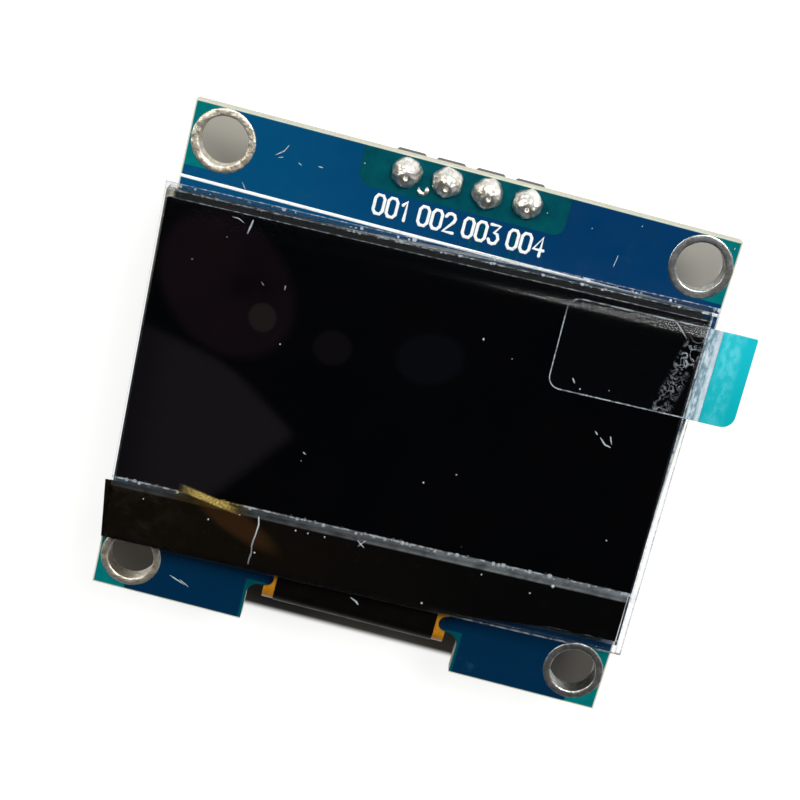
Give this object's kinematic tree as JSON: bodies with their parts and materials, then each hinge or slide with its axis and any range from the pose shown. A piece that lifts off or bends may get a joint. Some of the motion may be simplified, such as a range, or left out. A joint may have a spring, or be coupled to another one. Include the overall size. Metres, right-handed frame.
{
  "type": "small oled display module",
  "caption": "Small square OLED display module: glass panel with film and pull tab on a blue board with corner holes, pin header and folded flex tail.",
  "frame": {"origin": "centre of the four mounting holes, on the rear face of the circuit board", "axes": "+Z is the way the display faces, +Y points to the header edge of the board, +X to the right of the screen"},
  "size_m": [0.0371, 0.0325, 0.0088],
  "materials": {
    "board": "gloss",
    "tinned_ring": "rough tinned",
    "header_plastic": "matte",
    "pin_metal": "gold plated",
    "solder": "bright solder",
    "foam": "matte",
    "rear_glass": "gloss",
    "front_glass": "gloss",
    "polarizer": "gloss",
    "silicon": "gloss",
    "black_tape": "satin",
    "polyimide": "satin",
    "flex_cover": "satin",
    "clear_film": "gloss",
    "tab_film": "gloss",
    "grip": "satin",
    "capacitor": "matte",
    "resistor": "matte",
    "chip_plastic": "matte"
  },
  "bodies": {
    "root": {"circuit_board": "board", "mounting_ring_1": "tinned_ring", "mounting_ring_2": "tinned_ring", "mounting_ring_3": "tinned_ring", "mounting_ring_4": "tinned_ring", "header_body": "header_plastic", "header_pin_1": "pin_metal", "header_pin_2": "pin_metal", "header_pin_3": "pin_metal", "header_pin_4": "pin_metal", "solder_joint_1": "solder", "solder_joint_2": "solder", "solder_joint_3": "solder", "solder_joint_4": "solder", "foam_tape": "foam", "rear_glass": "rear_glass", "front_glass": "front_glass", "polarizer": "polarizer", "driver_chip": "silicon", "ledge_tape": "black_tape", "flex_tail": "polyimide", "flex_cover": "flex_cover", "flex_solder": "solder", "protective_film": "clear_film", "pull_tab": "tab_film", "tab_grip": "grip", "capacitor_1": "capacitor", "capacitor_2": "capacitor", "capacitor_3": "capacitor", "capacitor_4": "capacitor", "capacitor_5": "capacitor", "capacitor_6": "capacitor", "resistor_1": "resistor", "resistor_2": "resistor", "resistor_3": "resistor", "resistor_4": "resistor", "component_solder": "solder", "regulator_body": "chip_plastic", "regulator_leads": "pin_metal"}
  },
  "joints": []
}
